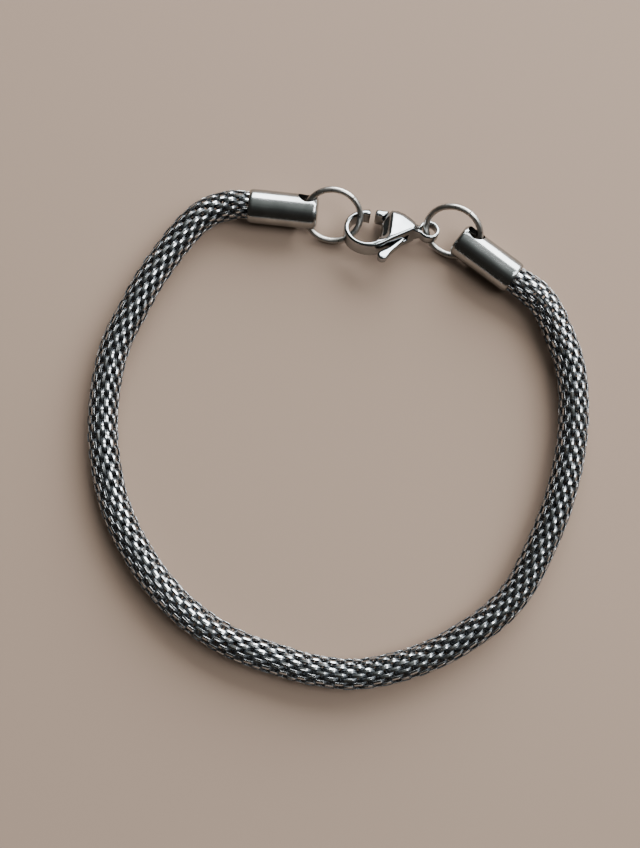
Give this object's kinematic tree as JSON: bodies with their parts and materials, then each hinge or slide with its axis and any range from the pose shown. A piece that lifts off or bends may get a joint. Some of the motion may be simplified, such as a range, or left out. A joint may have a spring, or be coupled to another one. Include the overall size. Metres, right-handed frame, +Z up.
{
  "type": "steel bracelet",
  "caption": "Round hollow mesh-chain bracelet lying closed, with tubular end caps, jump rings and a lobster clasp whose sprung lever opens.",
  "frame": {"origin": "on the resting surface, under the middle of the loop's bounding box", "axes": "+Z up from the surface, +Y from the loop's middle towards the clasp, +X to the right seen from above"},
  "size_m": [0.0644, 0.0642, 0.0061],
  "materials": {
    "steel_mesh": "satin, dark in the wells between the links",
    "steel_satin": "satin",
    "steel_wire": "polished",
    "steel_polished": "polished"
  },
  "bodies": {
    "bracelet": {"mesh_chain": "steel_mesh", "end_cap_left": "steel_satin", "end_cap_right": "steel_satin", "jump_ring_left": "steel_wire", "jump_ring_right": "steel_wire", "clasp_body": "steel_polished", "clasp_pin": "steel_polished"},
    "lever": {"clasp_lever": "steel_polished"}
  },
  "joints": [
    {"name": "lever_turn", "type": "hinge", "parent": "bracelet", "child": "lever", "pos_m": [0.00811, 0.02665, 0.00201], "axis": [0.0765, 0.3584, 0.9304], "range_deg": [0, 24], "stiffness_Nm_per_rad": 0.0002}
  ]
}
